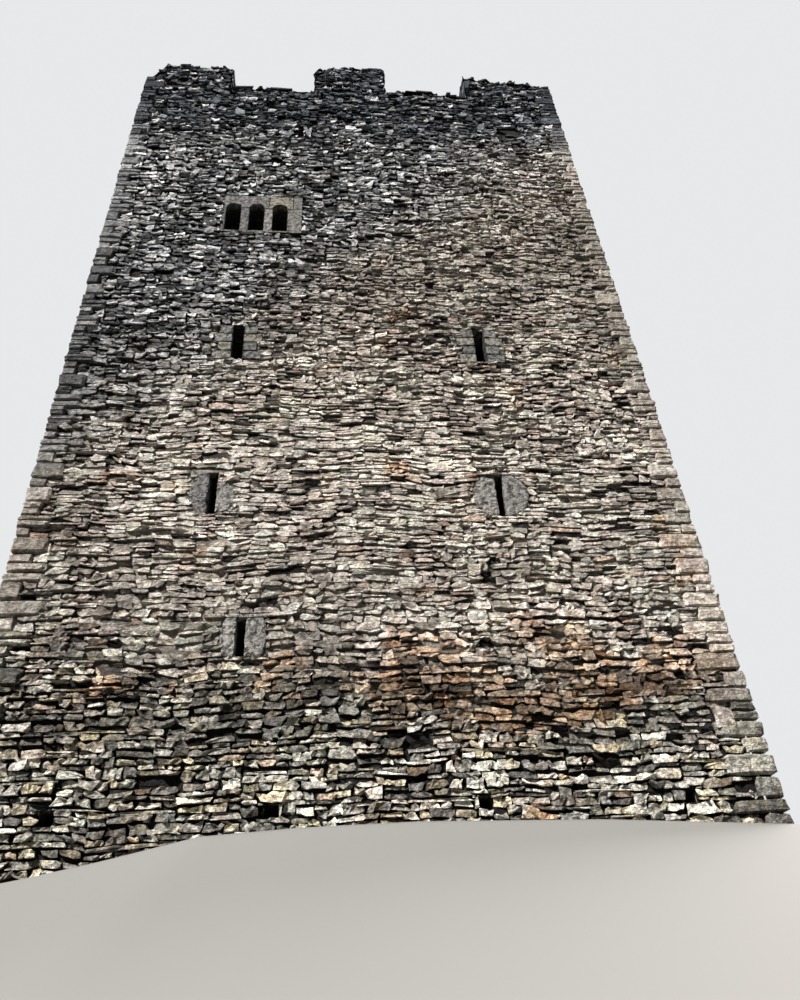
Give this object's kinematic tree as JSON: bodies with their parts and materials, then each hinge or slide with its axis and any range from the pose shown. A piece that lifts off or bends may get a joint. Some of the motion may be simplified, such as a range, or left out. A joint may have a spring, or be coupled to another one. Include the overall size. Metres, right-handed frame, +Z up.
{
  "type": "castle keep",
  "caption": "Square rubble-stone castle keep with splayed slits, an arched three-light window, boarded floors and a worn crenellated parapet",
  "frame": {"origin": "under the middle of the keep, at the lowest ground", "axes": "+X to the right along the front wall, +Y into the keep, +Z up"},
  "size_m": [11.13, 11.13, 20.75],
  "materials": {
    "foundation_stone": "rough",
    "base_rubble": "rough",
    "wall_rubble": "rough",
    "parapet_rubble": "rough",
    "paving": "worn",
    "boards": "weathered",
    "joist_timber": "rough sawn",
    "slab_stone": "rough",
    "dressed_stone": "tooled",
    "guard_metal": "galvanised"
  },
  "bodies": {
    "root": {"front_foundation": "foundation_stone", "right_foundation": "foundation_stone", "back_foundation": "foundation_stone", "left_foundation": "foundation_stone", "front_wall_ground": "base_rubble", "right_wall_ground": "base_rubble", "back_wall_ground": "base_rubble", "left_wall_ground": "base_rubble", "front_wall_first": "wall_rubble", "right_wall_first": "wall_rubble", "back_wall_first": "wall_rubble", "left_wall_first": "wall_rubble", "front_wall_second": "wall_rubble", "right_wall_second": "wall_rubble", "back_wall_second": "wall_rubble", "left_wall_second": "wall_rubble", "front_wall_third": "wall_rubble", "right_wall_third": "wall_rubble", "back_wall_third": "wall_rubble", "left_wall_third": "wall_rubble", "front_parapet": "parapet_rubble", "right_parapet": "parapet_rubble", "back_parapet": "parapet_rubble", "left_parapet": "parapet_rubble", "ground_floor": "paving", "first_floor": "boards", "second_floor": "boards", "third_floor": "boards", "roof_deck": "boards", "first_joists": "joist_timber", "second_joists": "joist_timber", "third_joists": "joist_timber", "roof_joists": "joist_timber", "ground_slit_slabs": "slab_stone", "ground_slit_lintels": "slab_stone", "first_slit_slabs": "slab_stone", "upper_slit_jambs": "dressed_stone", "window_sill_slab": "dressed_stone", "window_jambs": "dressed_stone", "window_mullions": "dressed_stone", "window_heads": "dressed_stone", "door_jambs": "dressed_stone", "door_arch": "dressed_stone", "door_threshold": "dressed_stone", "conductor_guard": "guard_metal"}
  },
  "joints": []
}
